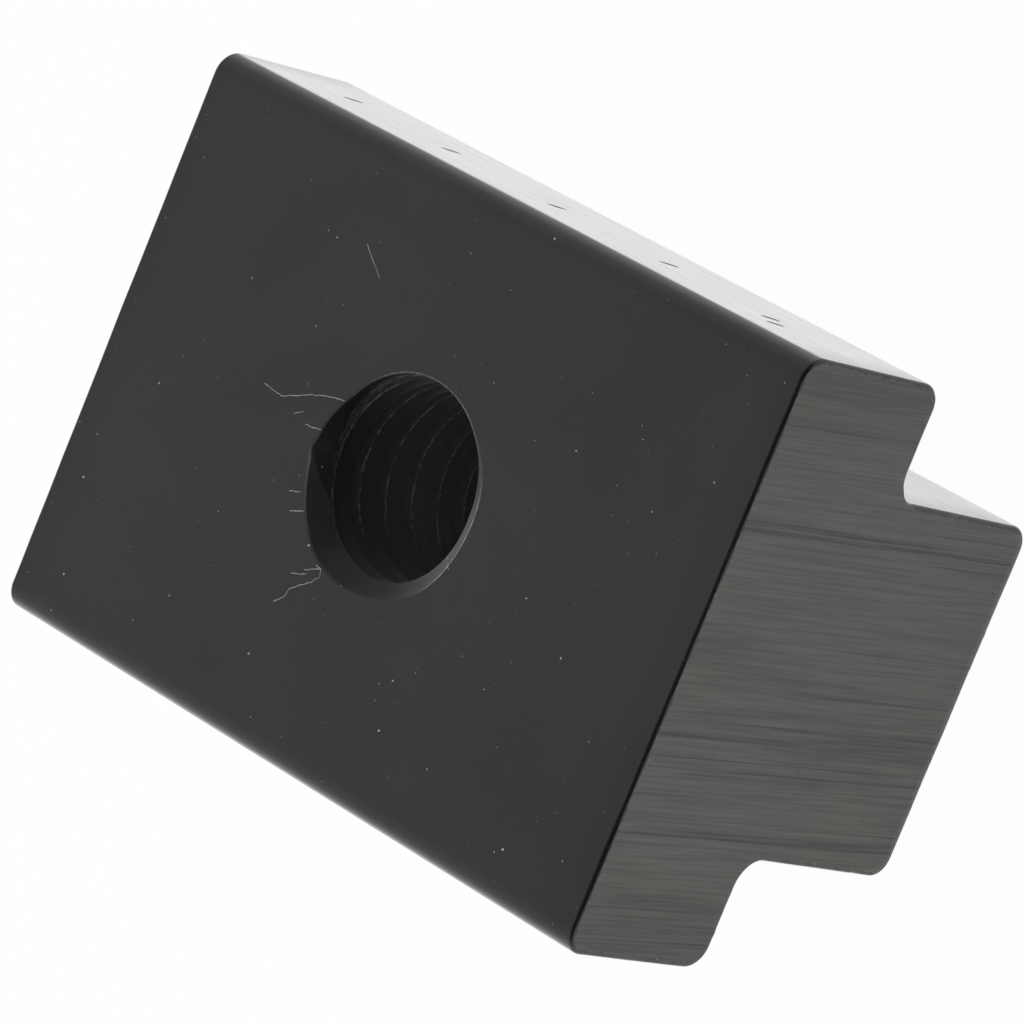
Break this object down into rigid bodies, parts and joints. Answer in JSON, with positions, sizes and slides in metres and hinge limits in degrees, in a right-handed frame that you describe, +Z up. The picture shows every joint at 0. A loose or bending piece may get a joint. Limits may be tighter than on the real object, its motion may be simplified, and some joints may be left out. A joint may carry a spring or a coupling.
{
  "type": "t slot nut",
  "caption": "T-section steel nut that slides in a table's T-slot: a broad base that bears under the slot's lips, a narrower tongue and a tapped through hole.",
  "frame": {"origin": "middle of the tongue's flat face, which the nut rests on, on the axis of the tapped hole", "axes": "+X along the slot and the nut's length, +Y across the slot, +Z up along the tapped hole's axis, from the tongue towards the broad face of the base"},
  "size_m": [0.0292, 0.0214, 0.0152],
  "materials": {
    "nut_body": "black oxide over drawn and sawn steel, dull satin"
  },
  "bodies": {
    "root": {"nut_body": "nut_body"}
  },
  "joints": []
}
